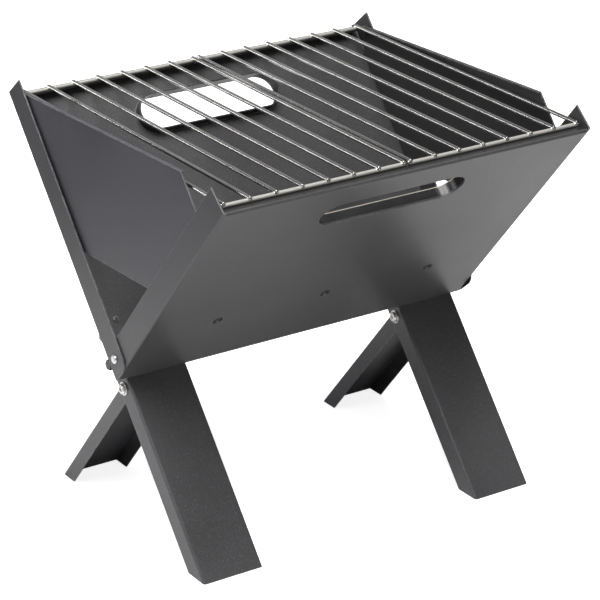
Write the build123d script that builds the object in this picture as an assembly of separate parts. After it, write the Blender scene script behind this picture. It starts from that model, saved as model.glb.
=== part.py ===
from build123d import *
import math
import os

# A folding camp grill: two sheet panels form an open V that holds the fire, and two pairs of crossing
# channel legs carry it.  Millimetres.  X to the right, Y to the back, Z up, Z = 0 is the ground.
# Each panel has its own pair of directions in the side view: s runs up the slope from the keel line,
# t runs from the panel's outer face towards the fire.  SIDE is -1 for the front panel, +1 for the rear.

# ---- driving dimensions -------------------------------------------------------------------------------
FRONT, REAR = -1, 1
SLOPE = math.radians(49.7)        # each panel against the ground
KEEL_Z = 139.2                    # height of the line where the two outer faces meet
SHEET = 1.2                       # panels, side plates, tray
BEND = 2.0                        # outside radius of every bend
PANEL_TOP_S = 262.5
EAR_TOP_S = 263.8                 # the side flanges end level with the bend above the sheet
LOW_S = {FRONT: 0.1, REAR: 2.0}   # lower edge of each sheet
REAR_HALF = 176.3                 # half widths over the side flanges
FRONT_HALF = 174.8
REAR_FLANGE = 26.0
FRONT_FLANGE = 24.2
LEDGE = 15.0                      # shelf that carries the cooking grid
LEDGE_HALF = 172.6
PIVOT_T = 12.8                    # body pivot, as far from either outer face
SLOT_S, SLOT_LONG, SLOT_HIGH, SLOT_LIP = 218.0, 140.0, 34.0, 10.4
VENT_S, VENT_X, VENT_R = 70.5, 105.0, 4.3

PLATE_X = 172.3                   # inner face of a side plate
PLATE_LOW_Z, PLATE_TOP_Z = 237.5, 350.8   # at the middle of the plate
PLATE_LEAN = math.tan(math.radians(-2.0))   # it leans back a little between the panels
PLATE_EDGE_T = 2.2                # its rear edge against the rear panel
PLATE_FRONT_T = 10.0              # its front edge, behind the front flange
PLATE_FRONT_Y, PLATE_REAR_Y = -106.0, 149.5
PLATE_HEM = 3.0

TRAY_Z = 180.0
TRAY_HALF = 112.0
TRAY_RIM = 14.0
TRAY_HOLE_R = 4.0
TRAY_ROWS, TRAY_COLS, TRAY_PITCH = 3, 11, 19.0

WIRE_R = 1.75
WIRE_BITE = 1.75                  # depth of each weld between a bar and its rail
GRID_Y = -1.2                     # the loose grid lies a little forward
RAIL_Y = 157.4
BAR_END_Y = 159.2
BAR_PITCH = 23.6
BAR_COUNT = 8
BAR_FIRST_X = 3.2

LEG_X = 136.9                    # middle of a leg pair
LEG_HALF = 28.4
LEG_FLANGE = 18.6
LEG_SHEET = 1.2
LEG_OFF = 0.15                    # gap between a leg web and the panel it stops against
REAR_LEG_HALF = 26.8
REAR_LEG_FLANGE = 14.2
REAR_LEG_T = 2.6                  # its web stands this far inside the front panel's outer face
WEB_TOP_S = 8.0                   # front leg web ends here, the fork goes on
LEG_PIVOT_S, LEG_PIVOT_T = 42.0, -12.7
FORK_R = 11.9
CROSS_Y, CROSS_DROP = 5.4, 11.6   # leg crossing, behind and below the keel line
CROSS_END_R = 8.0
SPACER_S, SPACER_T, SPACER_R = 18.0, -15.0, 2.45
SPACER_HEAD = 5.0

EAR_R, EAR_FOOT = 8.5, 14.0
RIVET_S, RIVET_DX = 50.5, 19.5

SCREW_R, HOLE_R = 2.45, 2.5
RIVET_R, RIVET_HOLE_R = 1.95, 2.0


# ---- side view geometry -------------------------------------------------------------------------------
def at(side, s, t):
    """The (y, z) point at s up the slope of a panel and t inwards from its outer face."""
    y = side * (s * math.cos(SLOPE) - t * math.sin(SLOPE))
    z = KEEL_Z + s * math.sin(SLOPE) + t * math.cos(SLOPE)
    return (y, z)


def s_at_height(z, t):
    """The s of the point that lies t inwards and at height z."""
    return (z - KEEL_Z - t * math.cos(SLOPE)) / math.sin(SLOPE)


def s_and_t(side, point):
    """The s and t of a (y, z) point, measured on one panel."""
    y, z = side * point[0], point[1] - KEEL_Z
    return (y * math.cos(SLOPE) + z * math.sin(SLOPE), z * math.cos(SLOPE) - y * math.sin(SLOPE))


def prism(points, x0, x1):
    """A side-view outline carried across from x0 to x1."""
    plane = Plane(origin=(x0, 0, 0), x_dir=(0, 1, 0), z_dir=(1, 0, 0))
    return extrude(plane * make_face(Polyline(*points, close=True)), amount=x1 - x0)


def band(side, s0, s1, t0, t1, x0, x1):
    """A block bounded in the s and t directions of one panel."""
    outline = [at(side, s0, t0), at(side, s1, t0), at(side, s1, t1), at(side, s0, t1)]
    return prism(outline, x0, x1)


def disc(centre, radius, x0, x1):
    """A cylinder along X."""
    plane = Plane(origin=(x0, centre[0], centre[1]), x_dir=(0, 1, 0), z_dir=(1, 0, 0))
    return extrude(plane * Circle(radius), amount=x1 - x0)


def hexagon(centre, flats, x0, x1):
    """A hexagonal prism along X."""
    plane = Plane(origin=(x0, centre[0], centre[1]), x_dir=(0, 1, 0), z_dir=(1, 0, 0))
    return extrude(plane * RegularPolygon(flats / 2, 6, major_radius=False), amount=x1 - x0)


def channel(start, end, inward, x_mid, half, depth, thick):
    """A bent U: its web's outer face runs from start to end, its flanges point along inward."""
    dy, dz = end[0] - start[0], end[1] - start[1]
    length = math.hypot(dy, dz)
    dy, dz = dy / length, dz / length
    k = 1 if dz * inward[0] - dy * inward[1] > 0 else -1
    outer = Pos(0, k * depth / 2) * Rectangle(2 * half, depth)
    inner = Pos(0, k * (depth / 2 + thick)) * Rectangle(2 * (half - thick), depth)
    outer = fillet([v for v in outer.vertices() if abs(v.Y) < 0.01], BEND)
    inner = fillet([v for v in inner.vertices() if abs(v.Y) < thick + 0.01], BEND - thick)
    plane = Plane(origin=(x_mid, start[0], start[1]), x_dir=(1, 0, 0), z_dir=(0, dy, dz))
    return extrude(plane * (outer - inner), amount=length)


def inwards(side):
    """Unit (y, z) direction from a panel's outer face towards the fire."""
    return (-side * math.sin(SLOPE), math.cos(SLOPE))


BODY_PIVOT = (0.0, KEEL_Z + PIVOT_T / math.cos(SLOPE))
CROSS = (CROSS_Y, KEEL_Z - CROSS_DROP)
LEG_PIVOT = at(REAR, LEG_PIVOT_S, LEG_PIVOT_T)


# ---- panels -------------------------------------------------------------------------------------------
def folded_sheet(side):
    """The panel's sheet and the level shelf bent from its top edge."""
    top = at(side, PANEL_TOP_S, 0)[1] + 1.0
    tip = side * (abs(at(side, s_at_height(top, 0), 0)[0]) - LEDGE)
    corner = at(side, s_at_height(top, 0), 0)
    inner = at(side, s_at_height(top - SHEET, SHEET), SHEET)
    low = LOW_S[side]
    outline = [at(side, low, 0), corner, (tip, top), (tip, top - SHEET), inner, at(side, low, SHEET)]
    plane = Plane(origin=(-LEDGE_HALF, 0, 0), x_dir=(0, 1, 0), z_dir=(1, 0, 0))
    face = make_face(Polyline(*outline, close=True))
    face = fillet([v for v in face.vertices() if math.dist((v.X, v.Y), corner) < 0.01], BEND)
    face = fillet([v for v in face.vertices() if math.dist((v.X, v.Y), inner) < 0.01], BEND - SHEET)
    return extrude(plane * face, amount=2 * LEDGE_HALF)


def slot_face(side, grow, t):
    """The handle opening's outline, grown by a margin, on the plane t inwards."""
    y, z = at(side, SLOT_S, t)
    plane = Plane(origin=(0, y, z), x_dir=(1, 0, 0), z_dir=(0, *inwards(side)))
    return plane * SlotOverall(SLOT_LONG + 2 * grow, SLOT_HIGH + 2 * grow)


def panel(side, half, depth, flange_outline):
    """One half of the body: sheet, shelf, side flanges, handle opening with its lip, vents."""
    trough = channel(at(side, -30, 0), at(side, EAR_TOP_S, 0), inwards(side), 0, half, depth, SHEET)
    trough -= band(side, -40, LOW_S[side], -1, SHEET + 0.01, -LEDGE_HALF, LEDGE_HALF)
    trough -= band(side, PANEL_TOP_S - 4, EAR_TOP_S + 1, -1, SHEET + 0.01, -LEDGE_HALF, LEDGE_HALF)
    body = (trough & flange_outline) + folded_sheet(side)
    body += extrude(slot_face(side, 0, 0), amount=SLOT_LIP)
    body -= extrude(slot_face(side, -SHEET, -1), amount=SLOT_LIP + 2)
    for x in (-VENT_X, 0, VENT_X):
        y, z = at(side, VENT_S, -1)
        hole = Plane(origin=(x, y, z), x_dir=(1, 0, 0), z_dir=(0, *inwards(side))) * Circle(VENT_R)
        body -= extrude(hole, amount=SHEET + 2)
    return body


def rear_panel():
    outline = band(REAR, 0.3, EAR_TOP_S, -1, 30, -200, 200)
    corner = at(REAR, 12.3, REAR_FLANGE - 12)
    cut = band(REAR, -1, 12.3, REAR_FLANGE - 12, 31, -200, 200) - disc(corner, 12, -201, 201)
    body = panel(REAR, REAR_HALF, REAR_FLANGE, outline - cut)
    body -= disc(BODY_PIVOT, RIVET_HOLE_R, -200, 200)
    for x in (-LEG_X, LEG_X):
        for dx in (-RIVET_DX, RIVET_DX):
            body -= rivet_hole(x + dx)
    return body


def rivet_hole(x):
    """The through hole for a bracket rivet, square to the rear panel."""
    y, z = at(REAR, RIVET_S, -5)
    plane = Plane(origin=(x, y, z), x_dir=(1, 0, 0), z_dir=(0, *inwards(REAR)))
    return extrude(plane * Circle(RIVET_HOLE_R), amount=10)


def front_panel():
    reach = PIVOT_T - SHEET - 0.3
    n = inwards(REAR)
    touch = (BODY_PIVOT[0] - reach * n[0], BODY_PIVOT[1] - reach * n[1])
    gap = SHEET + 0.3
    low = (-gap / (2 * math.sin(SLOPE)), KEEL_Z + gap / (2 * math.cos(SLOPE)))
    pivot_s = PIVOT_T * math.tan(SLOPE)
    outline = band(FRONT, pivot_s, EAR_TOP_S, -1, 30, -200, 200)
    outline += prism([BODY_PIVOT, touch, low, at(FRONT, pivot_s, 0)], -200, 200)
    outline += disc(BODY_PIVOT, reach, -200, 200)
    body = panel(FRONT, FRONT_HALF, FRONT_FLANGE, outline)
    return body - disc(BODY_PIVOT, RIVET_HOLE_R, -200, 200)


def pivot_rivets():
    """Domed rivets that join the two panels' flanges."""
    rivets = []
    for side in (-1, 1):
        shank = disc(BODY_PIVOT, RIVET_R, 172.0, REAR_HALF + 0.5)
        head = disc(BODY_PIVOT, 3.85, REAR_HALF, REAR_HALF + 2.0)
        head = fillet(head.edges().filter_by(GeomType.CIRCLE).sort_by(Axis.X)[-1], 1.5)
        tail = disc(BODY_PIVOT, 3.2, 172.0, FRONT_HALF - SHEET - 0.1)
        rivet = shank + head + tail
        rivets.append(rivet if side > 0 else mirror(rivet, about=Plane.YZ))
    return rivets


# ---- loose contents -----------------------------------------------------------------------------------
def on_line(side, t_edge, z_mid):
    """Where a leaning level line, z_mid high in the middle, meets the plane t_edge inside a panel."""
    rise = math.tan(SLOPE) - side * PLATE_LEAN
    edge_z = KEEL_Z + t_edge / math.cos(SLOPE)
    y = side * (z_mid - edge_z) / rise
    return (y, z_mid + PLATE_LEAN * y)


def side_plate(sign):
    """Plate that closes the end of the V, with a hem along its top."""
    front_top = (PLATE_FRONT_Y, PLATE_TOP_Z + PLATE_LEAN * PLATE_FRONT_Y)
    rear_top = (PLATE_REAR_Y, PLATE_TOP_Z + PLATE_LEAN * PLATE_REAR_Y)
    depth = s_and_t(FRONT, front_top)[1] - PLATE_FRONT_T
    run = depth / math.sin(2 * SLOPE)
    nose = (front_top[0] - run * math.cos(SLOPE), front_top[1] - run * math.sin(SLOPE))
    rear_s = (PLATE_REAR_Y + PLATE_EDGE_T * math.sin(SLOPE)) / math.cos(SLOPE)
    low_front, low_rear = on_line(FRONT, PLATE_FRONT_T, PLATE_LOW_Z), on_line(REAR, PLATE_EDGE_T, PLATE_LOW_Z)
    outline = [low_front, nose, front_top, rear_top, at(REAR, rear_s, PLATE_EDGE_T), low_rear]
    plate = prism(outline, PLATE_X, PLATE_X + SHEET)
    hem = prism([front_top, rear_top, (rear_top[0], rear_top[1] - SHEET), (front_top[0], front_top[1] - SHEET)],
                PLATE_X - PLATE_HEM + SHEET, PLATE_X)
    plate += hem
    return plate if sign > 0 else mirror(plate, about=Plane.YZ)


def charcoal_tray():
    """Perforated trough low in the V: its long edges lean on the panels, its ends are turned up."""
    out_t, in_t = 1.5, 1.5 + SHEET
    out_s = s_at_height(TRAY_Z, out_t)
    in_s = s_at_height(TRAY_Z + SHEET, in_t)
    top_s = out_s + TRAY_RIM
    outside = [at(FRONT, top_s, out_t), at(FRONT, out_s, out_t), at(REAR, out_s, out_t), at(REAR, top_s, out_t)]
    inside = [at(REAR, top_s, in_t), at(REAR, in_s, in_t), at(FRONT, in_s, in_t), at(FRONT, top_s, in_t)]
    tray = prism(outside + inside, -TRAY_HALF, TRAY_HALF)
    for x in (-TRAY_HALF, TRAY_HALF - SHEET):
        tray += prism(outside, x, x + SHEET)
    holes = []
    for row in range(TRAY_ROWS):
        shift = TRAY_PITCH / 4 if row % 2 else -TRAY_PITCH / 4
        for col in range(TRAY_COLS):
            x = (col - (TRAY_COLS - 1) / 2) * TRAY_PITCH + shift
            y = (row - (TRAY_ROWS - 1) / 2) * TRAY_PITCH * math.cos(math.pi / 6)
            holes.append(Pos(x, y, TRAY_Z) * Cylinder(TRAY_HOLE_R, 6))
    return tray - holes


def grid_bars(sign):
    """The bars of one half of the cooking grid."""
    z = grid_rail_z() + 2 * WIRE_R - WIRE_BITE
    bars = []
    for i in range(BAR_COUNT):
        x = sign * (BAR_FIRST_X + i * BAR_PITCH)
        plane = Plane(origin=(x, GRID_Y - BAR_END_Y, z), x_dir=(1, 0, 0), z_dir=(0, 1, 0))
        bar = extrude(plane * Circle(WIRE_R), amount=2 * BAR_END_Y)
        bars.append(fillet(bar.edges().filter_by(GeomType.CIRCLE), 0.4))
    return bars


def grid_rail_z():
    """Rails lie on the panel shelves."""
    return at(REAR, PANEL_TOP_S, 0)[1] + 1.0 + WIRE_R + 0.02


def grid_rails(sign):
    """The two cross wires under one half grid."""
    near = BAR_FIRST_X - 1.0
    far = BAR_FIRST_X + (BAR_COUNT - 1) * BAR_PITCH + 1.0
    low, high = sorted((sign * near, sign * far))
    return [disc((y, grid_rail_z()), WIRE_R, low, high) for y in (GRID_Y - RAIL_Y, GRID_Y + RAIL_Y)]


# ---- legs ---------------------------------------------------------------------------------------------
def both_ends(solid, sign):
    """A piece modelled on the outer side of the right-hand leg, and its twin on the inner side."""
    twin = mirror(solid, about=Plane.YZ.offset(LEG_X))
    pair = [solid, twin]
    return pair if sign > 0 else [mirror(p, about=Plane.YZ) for p in pair]


def ground_cut():
    """Everything below the ground."""
    return Pos(0, 0, -100) * Box(800, 800, 200)


def front_leg(sign):
    """Channel leg in line with the rear panel; above the web its flanges form a fork."""
    down = (-inwards(REAR)[0], -inwards(REAR)[1])
    x = sign * LEG_X
    leg = channel(at(REAR, -200, -LEG_OFF), at(REAR, 60, -LEG_OFF), down, x, LEG_HALF, LEG_FLANGE, LEG_SHEET)
    inner = LEG_HALF - LEG_SHEET
    leg -= band(REAR, WEB_TOP_S, 62, -3.2, 1, x - inner, x + inner)
    outline = band(REAR, -210, LEG_PIVOT_S, -40, 1, x - 40, x + 40)
    outline += disc(LEG_PIVOT, FORK_R, x - 40, x + 40)
    leg = (leg & outline) - ground_cut()
    for centre in (LEG_PIVOT, CROSS, at(REAR, SPACER_S, SPACER_T)):
        leg -= disc(centre, HOLE_R, x - 40, x + 40)
    return leg


def rear_leg(sign):
    """Narrower channel leg in line with the front panel; it nests inside the front leg."""
    x = sign * LEG_X
    down = (-inwards(FRONT)[0], -inwards(FRONT)[1])
    leg = channel(at(FRONT, -210, REAR_LEG_T), at(FRONT, 20, REAR_LEG_T), down, x, REAR_LEG_HALF, REAR_LEG_FLANGE,
                  LEG_SHEET)
    under = -LEG_OFF - LEG_SHEET - 0.15
    cross_s = s_and_t(FRONT, CROSS)[0]
    reach = under - s_and_t(REAR, CROSS)[1]
    n = inwards(REAR)
    beside = (CROSS[0] + reach * n[0], CROSS[1] + reach * n[1])
    stem = band(FRONT, -220, cross_s, -40, REAR_LEG_T + 1, x - 40, x + 40)
    stem += prism([CROSS, beside, stop_corner(under), at(FRONT, cross_s, REAR_LEG_T)], x - 40, x + 40)
    stem += disc(CROSS, CROSS_END_R, x - 40, x + 40)
    leg = (leg & stem) - ground_cut()
    return leg - disc(CROSS, HOLE_R, x - 40, x + 40)


def stop_corner(under):
    """Where the rear leg's outer face meets the underside of the front leg's web."""
    return ((REAR_LEG_T - under) / (2 * math.sin(SLOPE)), KEEL_Z + (REAR_LEG_T + under) / (2 * math.cos(SLOPE)))


def leg_bracket(sign):
    """Bent bracket on the back of the rear panel that carries a leg pivot."""
    half = REAR_LEG_HALF
    s0, s1 = LEG_PIVOT_S - EAR_FOOT, LEG_PIVOT_S + EAR_FOOT
    x = sign * LEG_X
    back = (-inwards(REAR)[0], -inwards(REAR)[1])
    plate = channel(at(REAR, s0, 0), at(REAR, s1, 0), back, x, half, 30, SHEET)
    foot = band(REAR, s0, s1, -3, 1, x - half, x + half)
    ear = prism([at(REAR, s0, -3), at(REAR, s1, -3), at(REAR, LEG_PIVOT_S + EAR_R, LEG_PIVOT_T),
                 at(REAR, LEG_PIVOT_S - EAR_R, LEG_PIVOT_T)], x - half, x + half)
    outline = foot + ear + disc(LEG_PIVOT, EAR_R, x - half, x + half)
    bracket = (plate & outline) - disc(LEG_PIVOT, HOLE_R, x - 40, x + 40)
    for dx in (-RIVET_DX, RIVET_DX):
        bracket -= rivet_hole(x + dx)
    return bracket


def bracket_rivets():
    """Four rivets that hold the brackets to the rear panel."""
    rivets = []
    for x in (-LEG_X, LEG_X):
        for dx in (-RIVET_DX, RIVET_DX):
            y, z = at(REAR, RIVET_S, -SHEET - 1.2)
            plane = Plane(origin=(x + dx, y, z), x_dir=(1, 0, 0), z_dir=(0, *inwards(REAR)))
            shank = extrude(plane * Circle(RIVET_R), amount=2 * SHEET + 2.4)
            tail = extrude(plane * Circle(3.0), amount=1.2)
            head_plane = plane.offset(1.2 + 2 * SHEET)
            head = extrude(head_plane * Circle(2.6), amount=0.8)
            rivets.append(shank + tail + head)
    return rivets


def pan_screw(centre, seat_x, tip_x):
    """Cross-recess pan-head screw; its head stands outwards from seat_x, its tip is at tip_x."""
    shank = disc(centre, SCREW_R, tip_x, seat_x + 0.5)
    head = disc(centre, 4.7, seat_x, seat_x + 2.6)
    head = fillet(head.edges().filter_by(GeomType.CIRCLE).sort_by(Axis.X)[-1], 1.6)
    recess = Pos(seat_x + 2.6, centre[0], centre[1]) * (Box(2.6, 4.6, 1.1) + Box(2.6, 1.1, 4.6))
    return shank + head - recess


def washer(centre, x0, x1):
    return disc(centre, 5.9, x0, x1) - disc(centre, HOLE_R, x0 - 1, x1 + 1)


def nut(centre, x0, x1):
    return hexagon(centre, 8.0, x0, x1) - disc(centre, HOLE_R, x0 - 1, x1 + 1)


def leg_pivot_set(sign):
    """Screws, washers and nuts of the two pivots that join a front leg to its bracket."""
    face = LEG_X + LEG_HALF
    ear_in = LEG_X + REAR_LEG_HALF - SHEET
    screws = both_ends(pan_screw(LEG_PIVOT, face + 1.1, ear_in - 5), sign)
    washers = both_ends(washer(LEG_PIVOT, face + 0.1, face + 1.1), sign)
    nuts = both_ends(nut(LEG_PIVOT, ear_in - 4, ear_in), sign)
    return screws, washers, nuts


def cross_set(sign):
    """Screws, washers and nuts where a front leg and a rear leg cross."""
    face = LEG_X + LEG_HALF
    flange_in = LEG_X + REAR_LEG_HALF - LEG_SHEET
    screws = both_ends(pan_screw(CROSS, face + 1.0, flange_in - 5), sign)
    washers = both_ends(washer(CROSS, face, face + 1.0), sign)
    nuts = both_ends(nut(CROSS, flange_in - 4.1, flange_in - 0.1), sign)
    return screws, washers, nuts


def fork_spacer(sign):
    """Black bolt that ties the two flanges of a front leg's fork."""
    centre = at(REAR, SPACER_S, SPACER_T)
    face = LEG_X + LEG_HALF
    inner = face - LEG_SHEET
    low = 2 * LEG_X - face
    bolt = disc(centre, SPACER_R, low - SPACER_HEAD, face + SPACER_HEAD)
    bolt += hexagon(centre, 8.0, face, face + SPACER_HEAD)
    bolt += hexagon(centre, 8.0, low - SPACER_HEAD, low)
    bolt += disc(centre, 4.0, low + LEG_SHEET, inner)
    return bolt if sign > 0 else mirror(bolt, about=Plane.YZ)


# ---- export -------------------------------------------------------------------------------------------
def save(name, shapes):
    """One STEP file per node; a node of several equal pieces is a group of solids."""
    if isinstance(shapes, (list, tuple)):
        solids = [s for shape in shapes for s in shape.solids()]
    else:
        solids = shapes.solids()
    shape = solids[0] if len(solids) == 1 else Compound(children=solids)
    export_step(shape, os.path.join("parts", name + ".step"))
    box = shape.bounding_box()
    print(name, len(solids), [round(v, 1) for v in (*box.min, *box.max)])


def main():
    os.makedirs("parts", exist_ok=True)
    save("rear_panel", rear_panel())
    save("front_panel", front_panel())
    save("body_pivot_rivets", pivot_rivets())
    save("charcoal_tray", charcoal_tray())
    save("bracket_rivets", bracket_rivets())
    screws, washers, nuts = [], [], []
    for name, sign in (("left", -1), ("right", 1)):
        save("side_plate_" + name, side_plate(sign))
        save("grid_bars_" + name, grid_bars(sign))
        save("grid_rails_" + name, grid_rails(sign))
        save("leg_bracket_" + name, leg_bracket(sign))
        save("front_leg_" + name, front_leg(sign))
        save("rear_leg_" + name, rear_leg(sign))
        save("fork_spacer_" + name, fork_spacer(sign))
        cross = cross_set(sign)
        save("cross_screws_" + name, cross[0])
        save("cross_washers_" + name, cross[1])
        save("cross_nuts_" + name, cross[2])
        pivot = leg_pivot_set(sign)
        screws += pivot[0]
        washers += pivot[1]
        nuts += pivot[2]
    save("leg_pivot_screws", screws)
    save("leg_pivot_washers", washers)
    save("leg_pivot_nuts", nuts)


main()
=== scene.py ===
import math
import random

import bmesh
import bpy
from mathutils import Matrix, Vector

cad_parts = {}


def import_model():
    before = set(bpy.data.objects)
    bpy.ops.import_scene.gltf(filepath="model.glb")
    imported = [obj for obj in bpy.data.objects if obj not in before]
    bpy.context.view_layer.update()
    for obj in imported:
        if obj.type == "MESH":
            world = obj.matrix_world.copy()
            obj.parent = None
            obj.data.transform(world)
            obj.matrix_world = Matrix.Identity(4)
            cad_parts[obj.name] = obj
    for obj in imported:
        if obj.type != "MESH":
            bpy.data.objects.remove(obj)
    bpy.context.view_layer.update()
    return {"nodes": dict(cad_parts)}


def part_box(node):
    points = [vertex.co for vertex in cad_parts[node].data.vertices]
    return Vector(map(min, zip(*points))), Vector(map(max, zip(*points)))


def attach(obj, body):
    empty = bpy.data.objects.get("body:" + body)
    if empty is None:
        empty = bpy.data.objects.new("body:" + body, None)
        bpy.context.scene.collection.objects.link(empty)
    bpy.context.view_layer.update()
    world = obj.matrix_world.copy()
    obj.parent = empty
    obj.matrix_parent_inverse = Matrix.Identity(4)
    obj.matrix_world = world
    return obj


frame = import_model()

NODES = frame["nodes"]
scene = bpy.context.scene

# ---- camera and light -------------------------------------------------------------------------------
CAMERA_AT = (-1.148, -1.7546, 1.0597)
CAMERA_YAW = 33.31                # degrees, 0 looks along +Y
CAMERA_PITCH = -22.98
CAMERA_LENS = 160.84

FLOOR_SIZE = 30.0
FLOOR_COLOR = (0.86, 0.86, 0.86)
FLOOR_FAR = (0.16, 0.16, 0.16)
FLOOR_GLOW = 0.84                 # seen by the camera alone
SHEET_FADE = (0.45, 0.95)         # distance over which the white sheet gives way to the floor

ROOM_LOW = (0.13, 0.13, 0.135, 1.0)
ROOM_HIGH = (0.16, 0.16, 0.165, 1.0)

WHITE = (1.0, 1.0, 1.0)
AIM = (0.0, 0.0, 0.2)             # every light faces this point
LIGHTS = (                        # name, place, size, watts, colour
    ("top", (-0.35, -0.62, 2.5), (1.8, 1.8), 118.0, WHITE),
    ("left", (-3.0, 0.2, 1.3), (1.4, 1.2), 29.0, (0.95, 0.92, 1.0)),
    ("front", (0.9, -3.2, 1.0), (1.6, 1.0), 14.0, WHITE),
    ("right", (2.8, 0.1, 0.3), (1.0, 0.5), 6.0, WHITE),
    ("back_left", (-1.9, 2.3, 0.55), (1.1, 0.45), 10.0, WHITE),      # the bright line on each rod
    ("back_wall", (0.6, 3.2, 1.4), (6.0, 2.6), 14.0, WHITE),         # the grey of the rods' upper side
)

# ---- finishes ---------------------------------------------------------------------------------------
COAT = (0.0395, 0.0390, 0.0405)
# bluish lit copy of the coat for the left side plate: painted light
COAT_BLUISH_LIGHT = (0.0415, 0.0395, 0.0455)
# darker copy of the coat for the right side plate: painted shade
COAT_SHADED = (0.024, 0.024, 0.025)
# lighter edges of the coat: partly wear, partly a painted highlight
COAT_WEAR_AND_GLINT = (0.42, 0.42, 0.42)
# painted shade: near black for the level shelves under the grid and the handle openings' lips
SHELF_LIP_SHADE = (0.012, 0.012, 0.0125)
# painted shade: black for the vents' walls and rims and for the charcoal tray
DEEP_SHADE = (0.003, 0.003, 0.003)
# painted highlight along the rim of a handle opening's lip
RIM_GLINT = (0.60, 0.55, 0.46)
COAT_GRAIN = 1500.0               # bumps of the powder coat, per metre
SHELF_POLISH = (0.10, 0.20)       # roughness
LIP_POLISH = (0.20, 0.32)
NICKEL = (0.54, 0.54, 0.535)
NICKEL_RAIL = (0.40, 0.395, 0.37)
STAIN = (0.88, 0.86, 0.83)         # what a stain leaves of each part of a colour
PIT = (0.14, 0.13, 0.12)
BEAD_BRIGHT, BEAD_DULL = (0.83, 0.81, 0.76), (0.52, 0.48, 0.41)
ZINC = (0.74, 0.73, 0.71)
# painted highlight on the fasteners' edges
ZINC_EDGE_GLINT = (0.88, 0.87, 0.85)
OXIDE, OXIDE_EDGE = (0.012, 0.012, 0.013), (0.10, 0.10, 0.10)

# ---- shape of the CAD panels, for masks ---------------------------------------------------------------
PANEL_SLOPE = 49.7                # degrees
KEEL_Z = 0.1392
SLOT_ALONG = 0.218                # middle of the handle opening, up the slope from the keel
SLOT_REACH = 0.0705               # half its length
SLOT_HALF = 0.0175                # half its width
SLOT_LIP = 0.0104                 # how deep its lip goes
LIP_START = 0.0016                # just behind the sheet
RIM_BAND = 0.0009                 # strip along the lip's rim that carries a painted highlight
VENT_ALONG = 0.0705
VENT_PITCH = 0.105
VENT_R = 0.0043
LOW_SHADE_TOP = (0.205, 0.232)       # the painted shade low in the V fades between these heights
LOW_SHADE_END = (0.10, 0.15)         # and between these distances from the middle

# ---- grid welds -------------------------------------------------------------------------------------
BARS_PER_HALF = 8
WIRE_R = 0.00175
BEAD_R = 0.0024
BEAD_SHAPE = (1.15, 0.80, 0.72)   # wide along the rail, low
BEAD_LUMPS = ((0.10, 2600.0), (0.08, 3100.0))     # height and waves per metre, along X and Y


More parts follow.
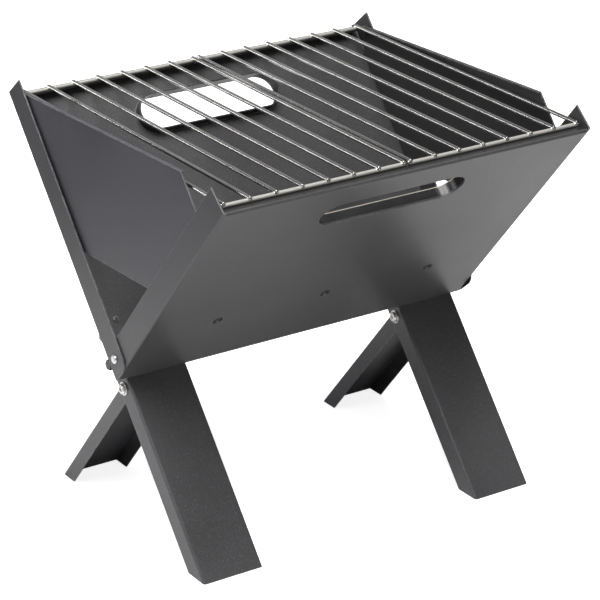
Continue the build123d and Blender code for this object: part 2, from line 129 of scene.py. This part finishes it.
# ---- node helpers -----------------------------------------------------------------------------------
class Shader:
    """A small builder for one node material."""

    def __init__(self, name):
        self.mat = bpy.data.materials.new(name)
        self.mat.use_nodes = True
        self.tree = self.mat.node_tree
        self.bsdf = self.tree.nodes["Principled BSDF"]
        self.coord = self.node("ShaderNodeTexCoord").outputs["Object"]

    def node(self, kind, **values):
        made = self.tree.nodes.new(kind)
        for key, value in values.items():
            if key in made.inputs:
                made.inputs[key].default_value = value
            else:
                setattr(made, key, value)
        return made

    def link(self, source, target):
        self.tree.links.new(source, target)

    def split(self, vector):
        """The parts of a vector, by the names X, Y and Z."""
        made = self.node("ShaderNodeSeparateXYZ")
        self.link(vector, made.inputs[0])
        return made.outputs

    def normal(self):
        return self.split(self.node("ShaderNodeNewGeometry").outputs["Normal"])

    def noise(self, scale, detail=3.0, stretch=None, roughness=0.5):
        """Noise with scale waves per metre; stretch squeezes the pattern along the axes."""
        made = self.node("ShaderNodeTexNoise", Scale=scale, Detail=detail, Roughness=roughness)
        source = self.coord
        if stretch:
            mapping = self.node("ShaderNodeMapping")
            mapping.inputs["Scale"].default_value = stretch
            self.link(source, mapping.inputs["Vector"])
            source = mapping.outputs["Vector"]
        self.link(source, made.inputs["Vector"])
        return made.outputs["Fac"]

    def ramp(self, source, low, high, to_low=0.0, to_high=1.0):
        """Maps source from low..high to to_low..to_high, clamped."""
        made = self.node("ShaderNodeMapRange")
        for slot, value in ((1, low), (2, high), (3, to_low), (4, to_high)):
            made.inputs[slot].default_value = value
        self.link(source, made.inputs[0])
        return made.outputs[0]

    def math(self, operation, first, second=0.0):
        made = self.node("ShaderNodeMath", operation=operation)
        for slot, value in ((0, first), (1, second)):
            if isinstance(value, (int, float)):
                made.inputs[slot].default_value = value
            else:
                self.link(value, made.inputs[slot])
        return made.outputs[0]

    def product(self, first, *others):
        for other in others:
            first = self.math("MULTIPLY", first, other)
        return first

    def mix(self, factor, first, second):
        """Mixes two colours; each is a tuple or a socket."""
        made = self.node("ShaderNodeMix", data_type="RGBA")
        for slot, value in ((6, first), (7, second)):
            if isinstance(value, tuple):
                made.inputs[slot].default_value = (*value, 1.0)
            else:
                self.link(value, made.inputs[slot])
        self.link(factor, made.inputs[0])
        return made.outputs[2]

    def mix_value(self, factor, first, second):
        made = self.node("ShaderNodeMix", data_type="FLOAT")
        for slot, value in ((0, factor), (2, first), (3, second)):
            self.link(value, made.inputs[slot])
        return made.outputs[0]

    def edges(self, radius, low=0.02, high=0.25):
        """1 on sharp edges within radius, 0 on flat ground; and the normal with those edges rounded."""
        bevel = self.node("ShaderNodeBevel", samples=6, Radius=radius)
        flat = self.node("ShaderNodeNewGeometry").outputs["Normal"]
        dot = self.node("ShaderNodeVectorMath", operation="DOT_PRODUCT")
        self.link(bevel.outputs[0], dot.inputs[0])
        self.link(flat, dot.inputs[1])
        turned = self.math("SUBTRACT", 1.0, dot.outputs["Value"])
        return self.ramp(turned, low, high), bevel.outputs[0]

    def scratches(self):
        """Sparse hairline scratches in a few patches."""
        streak = self.noise(240.0, 1.0, (1.0, 0.06, 0.45))
        above = self.ramp(streak, 0.485, 0.50)
        below = self.ramp(streak, 0.50, 0.515, 1.0, 0.0)
        patch = self.ramp(self.noise(14.0, 3.0), 0.60, 0.72, 0.0, 0.35)
        return self.product(above, below, patch)

    def bump(self, height, distance, strength=1.0, normal=None):
        made = self.node("ShaderNodeBump", Distance=distance, Strength=strength)
        self.link(height, made.inputs["Height"])
        if normal is not None:
            self.link(normal, made.inputs["Normal"])
        return made.outputs[0]

    def put(self, **sockets):
        """Connects or sets inputs of the surface shader by name, with _ for a space."""
        for key, value in sockets.items():
            target = self.bsdf.inputs[key.replace("_", " ")]
            if isinstance(value, tuple):
                target.default_value = (*value, 1.0)
            elif isinstance(value, (int, float)):
                target.default_value = value
            else:
                self.link(value, target)
        return self.mat


# ---- materials --------------------------------------------------------------------------------------
def shade(color, factor):
    return tuple(part * factor for part in color)


def powder_coat(name, color=COAT, roughness=0.38, wear_and_glint=0.8, speckle=0.30, lip_shade_and_shine=None, rim=0.0):
    """Charcoal powder coat: fine orange-peel grain, cloudy tone, edges lighter in patches (partly wear,
    partly a painted highlight), a few scratches.

    A panel gives a lip value from 0 to 1: how far the lip round its opening is painted near black as
    painted shade, and how much of its specular level it keeps; rim is the strength of the painted
    highlight along that lip's rim. A panel also gets painted shade on its level shelves, low in the V and
    in its vents.
    """
    s = Shader(name)
    grain = s.noise(COAT_GRAIN, 2.0)
    peel = s.noise(COAT_GRAIN * 0.45, 3.0)
    cloud = s.noise(9.0, 4.0)
    edge, soft_normal = s.edges(0.0008)
    patches = s.ramp(s.noise(140.0, 4.0), 0.30, 0.55)
    rubbed_and_glinting = s.product(edge, patches, wear_and_glint)
    tone = s.mix(s.ramp(cloud, 0.32, 0.68), shade(color, 0.86), shade(color, 1.18))
    tone = s.mix(s.ramp(peel, 0.52, 0.74, 0.0, speckle), tone, shade(color, 2.6))
    tone = s.mix(s.ramp(grain, 0.30, 0.48, 0.28, 0.0), tone, shade(color, 0.35))
    tone = s.mix(s.scratches(), tone, shade(color, 3.4))
    # edges lighter in patches: partly wear, partly a painted highlight
    tone = s.mix(rubbed_and_glinting, tone, COAT_WEAR_AND_GLINT)
    rough = s.ramp(cloud, 0.3, 0.7, roughness - 0.05, roughness + 0.06)
    if lip_shade_and_shine is not None:
        shelf = shelf_mask(s)
        lip = lip_mask(s, LIP_START)
        rim_glint = s.product(lip_mask(s, SLOT_LIP - RIM_BAND), rim)
        s.put(Specular_IOR_Level=s.ramp(lip, 0.0, 1.0, 0.5, 0.5 * lip_shade_and_shine))
        # painted shade low in the middle of the V
        tone = s.mix(low_v_shade_mask(s), tone, shade(color, 0.25))
        # painted shade: the shelves and the handle-opening lips go near black
        tone = s.mix(s.math("MAXIMUM", shelf, s.product(lip, lip_shade_and_shine)), tone, SHELF_LIP_SHADE)
        # painted highlight along the lip's rim
        tone = s.mix(rim_glint, tone, RIM_GLINT)
        # painted shade: the vents' walls and rims go black
        tone = s.mix(vent_mask(s), tone, DEEP_SHADE)
        rough = s.mix_value(shelf, rough, s.ramp(cloud, 0.3, 0.7, *SHELF_POLISH))
        rough = s.mix_value(lip, rough, s.ramp(cloud, 0.3, 0.7, *LIP_POLISH))
    height = s.math("ADD", grain, s.product(peel, 1.6))
    relief = s.bump(height, 0.00007, 0.5, soft_normal)
    return s.put(Base_Color=tone, Roughness=rough, Normal=relief, IOR=1.5)


def shelf_mask(s):
    """Near 1 on the level shelves under the grid, where the sliding wires keep the coat polished; there
    the coat is also painted near black as painted shade.
    """
    return s.ramp(s.math("ABSOLUTE", s.normal()["Z"]), 0.94, 0.985, 0.0, 0.9)


def low_v_shade_mask(s):
    """Up to 1 low in the middle of the V, on faces turned upward, where the coat is darkened as painted
    shade.
    """
    place = s.split(s.coord)
    low = s.ramp(place["Z"], *LOW_SHADE_TOP, 1.0, 0.0)
    middle = s.ramp(s.math("ABSOLUTE", place["X"]), *LOW_SHADE_END, 1.0, 0.0)
    inside = s.ramp(s.normal()["Z"], 0.2, 0.5)
    return s.product(low, middle, inside)


def on_panel(s):
    """Distance from the middle plane, way up the slope from the keel, and depth behind the outer face."""
    place = s.split(s.coord)
    across = s.math("ABSOLUTE", place["Y"])
    up = s.math("SUBTRACT", place["Z"], KEEL_Z)
    cos, sin = math.cos(math.radians(PANEL_SLOPE)), math.sin(math.radians(PANEL_SLOPE))
    deep = s.math("SUBTRACT", s.product(up, cos), s.product(across, sin))
    along = s.math("ADD", s.product(across, cos), s.product(up, sin))
    return s.math("ABSOLUTE", place["X"]), along, deep


def vent_mask(s):
    """1 on the walls and rims of the three vents, which are painted black as painted shade."""
    x, along, _ = on_panel(s)
    to_x = s.math("PINGPONG", x, VENT_PITCH / 2)
    to_s = s.math("SUBTRACT", along, VENT_ALONG)
    away = s.math("SQRT", s.math("ADD", s.product(to_x, to_x), s.product(to_s, to_s)))
    return s.ramp(away, VENT_R + 0.0002, VENT_R + 0.0005, 1.0, 0.0)


def lip_mask(s, start):
    """1 on the rolled lip of a handle opening, from start metres behind the outer face to its rim."""
    x, along, deep = on_panel(s)
    from_middle = s.math("ABSOLUTE", s.math("SUBTRACT", along, SLOT_ALONG))
    near_x = s.ramp(x, SLOT_REACH, SLOT_REACH + 0.002, 1.0, 0.0)
    near_s = s.ramp(from_middle, SLOT_HALF, SLOT_HALF + 0.0015, 1.0, 0.0)
    inside = s.ramp(deep, start, start + 0.0005)
    return s.product(near_x, near_s, inside)


def plated_wire(name, color=NICKEL, shine=1.0, roughness=0.18):
    """Nickel on drawn wire: draw lines, faint stains and pits; a low shine gives a milky plating."""
    s = Shader(name)
    lines = s.noise(1400.0, 3.0, (1.0, 0.015, 1.0))
    stain = s.noise(70.0, 4.0)
    pits = s.noise(900.0, 2.0)
    stained = tuple(part * dull for part, dull in zip(color, STAIN))
    tone = s.mix(s.ramp(stain, 0.35, 0.7), color, stained)
    tone = s.mix(s.ramp(pits, 0.62, 0.74, 0.0, 0.35), tone, PIT)
    rough = s.ramp(stain, 0.3, 0.7, roughness - 0.05, roughness + 0.07)
    relief = s.bump(s.math("ADD", lines, s.product(pits, 0.5)), 0.00004, 0.08)
    return s.put(Base_Color=tone, Metallic=shine, Roughness=rough, Normal=relief)


def weld_metal(name):
    """Spot-weld beads under the same plating: rougher and a little yellow."""
    s = Shader(name)
    blotch = s.noise(600.0, 4.0)
    tone = s.mix(s.ramp(blotch, 0.35, 0.7), BEAD_BRIGHT, BEAD_DULL)
    rough = s.ramp(blotch, 0.3, 0.7, 0.18, 0.42)
    return s.put(Base_Color=tone, Metallic=1.0, Roughness=rough, Normal=s.bump(blotch, 0.0002, 0.6))


def zinc_plate(name):
    """Zinc-plated fasteners: bright, slightly blotched, with fine turning marks."""
    s = Shader(name)
    blotch = s.noise(500.0, 4.0)
    turned = s.noise(2200.0, 2.0, (1.0, 0.05, 0.05))
    edge, soft_normal = s.edges(0.0003)
    tone = s.mix(s.ramp(blotch, 0.35, 0.7), ZINC, shade(ZINC, 0.66))
    # painted highlight on the edges
    tone = s.mix(s.product(edge, 0.5), tone, ZINC_EDGE_GLINT)
    rough = s.ramp(blotch, 0.3, 0.7, 0.28, 0.45)
    relief = s.bump(s.math("ADD", blotch, s.product(turned, 0.6)), 0.00004, 0.35, soft_normal)
    return s.put(Base_Color=tone, Metallic=1.0, Roughness=rough, Normal=relief)


def black_oxide(name):
    """Black bolt with an oily sheen."""
    s = Shader(name)
    spots = s.noise(420.0, 3.0)
    edge, soft_normal = s.edges(0.0004)
    tone = s.mix(s.product(edge, 0.4), OXIDE, OXIDE_EDGE)
    rough = s.ramp(spots, 0.3, 0.7, 0.25, 0.42)
    return s.put(Base_Color=tone, Roughness=rough, Normal=s.bump(spots, 0.00004, 0.4, soft_normal))


def floor_paint():
    """Matt white sheet under the grill on a darker studio floor; the camera sees all of it pale."""
    s = Shader("pale_floor")
    haze = s.noise(1.5, 2.0)
    far = s.node("ShaderNodeVectorMath", operation="LENGTH")
    s.link(s.coord, far.inputs[0])
    sheet = s.mix(s.ramp(far.outputs["Value"], *SHEET_FADE), FLOOR_COLOR, FLOOR_FAR)
    seen = s.node("ShaderNodeLightPath").outputs["Is Camera Ray"]
    pale = s.mix(s.ramp(haze, 0.3, 0.7), FLOOR_COLOR, shade(FLOOR_COLOR, 0.99))
    return s.put(Base_Color=s.mix(seen, sheet, pale), Roughness=0.9, Specular_IOR_Level=0.1,
                 Emission_Color=WHITE, Emission_Strength=s.product(seen, FLOOR_GLOW))


def paint(node, material):
    mesh = NODES[node].data
    mesh.materials.clear()
    mesh.materials.append(material)


def smooth(node, degrees=28.0):
    """Shades curved CAD faces smooth and keeps the folds crisp."""
    mesh = NODES[node].data
    mesh.shade_smooth()
    mesh.set_sharp_from_angle(angle=math.radians(degrees))


def dress_cad():
    """Gives every CAD node its finish: the first entry that its name starts with."""
    zinc = zinc_plate("zinc_plate")
    finishes = {
        "grid_rails": plated_wire("nickel_rail", NICKEL_RAIL, shine=0.4, roughness=0.40),
        "grid_bars": plated_wire("nickel_wire"),
        # panels: painted shade on lips, shelves, low in the V and in the vents; the front lip's rim gets
        # a painted highlight
        "front_panel": powder_coat("charcoal_coat_front", lip_shade_and_shine=1.0, rim=0.6),
        "rear_panel": powder_coat("charcoal_coat_rear", speckle=0.5, lip_shade_and_shine=0.45),
        # bluish lit coat on the left plate: painted light
        "side_plate_left": powder_coat("charcoal_coat_bluish_lit", COAT_BLUISH_LIGHT),
        # darker coat on the right plate: painted shade
        "side_plate_right": powder_coat("charcoal_coat_shaded", COAT_SHADED),
        # tray painted near black: painted shade, seen through the vents
        "charcoal_tray": powder_coat("shaded_tray", DEEP_SHADE, roughness=0.75, wear_and_glint=0.15),
        "fork_spacer": black_oxide("black_oxide"),
        "body_pivot_rivets": zinc,
        "leg_pivot": zinc,
        "cross_": zinc,
        "": powder_coat("charcoal_coat", speckle=0.5),
    }
    for name in NODES:
        paint(name, next(finish for start, finish in finishes.items() if name.startswith(start)))
        smooth(name)


# ---- grid welds -------------------------------------------------------------------------------------
def bead(mesh, centre, seed):
    """One lumpy spot weld, wider along the rail than it is high."""
    rng = random.Random(seed)
    made = bmesh.ops.create_icosphere(mesh, subdivisions=3, radius=BEAD_R)
    phase = [rng.uniform(0, 6.3) for _ in range(3)]
    for v in made["verts"]:
        lump = 1.0
        for k, (height, waves) in enumerate(BEAD_LUMPS):
            lump += height * math.sin(waves * v.co[k] + phase[k])
        wide, deep, high = BEAD_SHAPE
        v.co = Vector((v.co.x * wide * lump, v.co.y * deep * lump, v.co.z * high)) + centre


def grid_welds(side, metal):
    """Beads where the bars of one half grid sit on its two rails."""
    low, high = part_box("grid_bars_" + side)
    rails_low, rails_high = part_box("grid_rails_" + side)
    first, last = low[0] + WIRE_R, high[0] - WIRE_R
    z = (low[2] + rails_high[2]) / 2
    mesh = bmesh.new()
    for i in range(BARS_PER_HALF):
        x = first + (last - first) * i / (BARS_PER_HALF - 1)
        for y in (rails_low[1] + WIRE_R, rails_high[1] - WIRE_R):
            bead(mesh, Vector((x, y, z)), 10 * i + (y > 0))
    data = bpy.data.meshes.new("grid_welds_" + side)
    mesh.to_mesh(data)
    mesh.free()
    data.shade_smooth()
    data.materials.append(metal)
    made = bpy.data.objects.new(data.name, data)
    scene.collection.objects.link(made)
    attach(made, "half_grid_" + side)


# ---- studio -----------------------------------------------------------------------------------------
def floor():
    mesh = bpy.data.meshes.new("floor")
    half = FLOOR_SIZE / 2
    corners = [(-half, -half, 0), (half, -half, 0), (half, half, 0), (-half, half, 0)]
    mesh.from_pydata(corners, [], [(0, 1, 2, 3)])
    plane = bpy.data.objects.new("floor", mesh)
    plane.location.z = -0.0005
    mesh.materials.append(floor_paint())
    scene.collection.objects.link(plane)


def softbox(name, at, size, power, color):
    """A rectangular area light that faces the grill."""
    lamp = bpy.data.lights.new(name, "AREA")
    lamp.shape = "RECTANGLE"
    lamp.size, lamp.size_y = size
    lamp.energy = power
    lamp.color = color
    made = bpy.data.objects.new(name, lamp)
    made.location = at
    aim = Vector(AIM) - Vector(at)
    made.rotation_euler = aim.to_track_quat("-Z", "Y").to_euler()
    scene.collection.objects.link(made)


def world():
    """White to the camera; to everything else a dim studio, a little paler overhead."""
    made = bpy.data.worlds.new("studio")
    made.use_nodes = True
    tree = made.node_tree
    back = tree.nodes["Background"]
    path = tree.nodes.new("ShaderNodeLightPath")
    coord = tree.nodes.new("ShaderNodeTexCoord")
    split = tree.nodes.new("ShaderNodeSeparateXYZ")
    ramp = tree.nodes.new("ShaderNodeValToRGB")
    ramp.color_ramp.elements[0].color = ROOM_LOW
    ramp.color_ramp.elements[1].color = ROOM_HIGH
    ramp.color_ramp.elements[1].position = 0.8
    mix = tree.nodes.new("ShaderNodeMix")
    mix.data_type = "RGBA"
    mix.inputs[7].default_value = (*WHITE, 1.0)
    tree.links.new(coord.outputs["Generated"], split.inputs[0])
    tree.links.new(split.outputs["Z"], ramp.inputs[0])
    tree.links.new(ramp.outputs[0], mix.inputs[6])
    tree.links.new(path.outputs["Is Camera Ray"], mix.inputs[0])
    tree.links.new(mix.outputs[2], back.inputs[0])
    scene.world = made


def camera():
    lens = bpy.data.cameras.new("camera")
    lens.lens = CAMERA_LENS
    lens.sensor_width = 36.0
    lens.clip_end = 100.0
    made = bpy.data.objects.new("camera", lens)
    yaw, pitch = math.radians(CAMERA_YAW), math.radians(CAMERA_PITCH)
    forward = Vector((math.sin(yaw) * math.cos(pitch), math.cos(yaw) * math.cos(pitch), math.sin(pitch)))
    made.location = CAMERA_AT
    made.rotation_euler = forward.to_track_quat("-Z", "Y").to_euler()
    scene.collection.objects.link(made)
    scene.camera = made


scene.view_settings.view_transform = "Standard"
dress_cad()
bead_metal = weld_metal("weld_metal")
for half in ("left", "right"):
    grid_welds(half, bead_metal)
floor()
world()
for light in LIGHTS:
    softbox(*light)
camera()
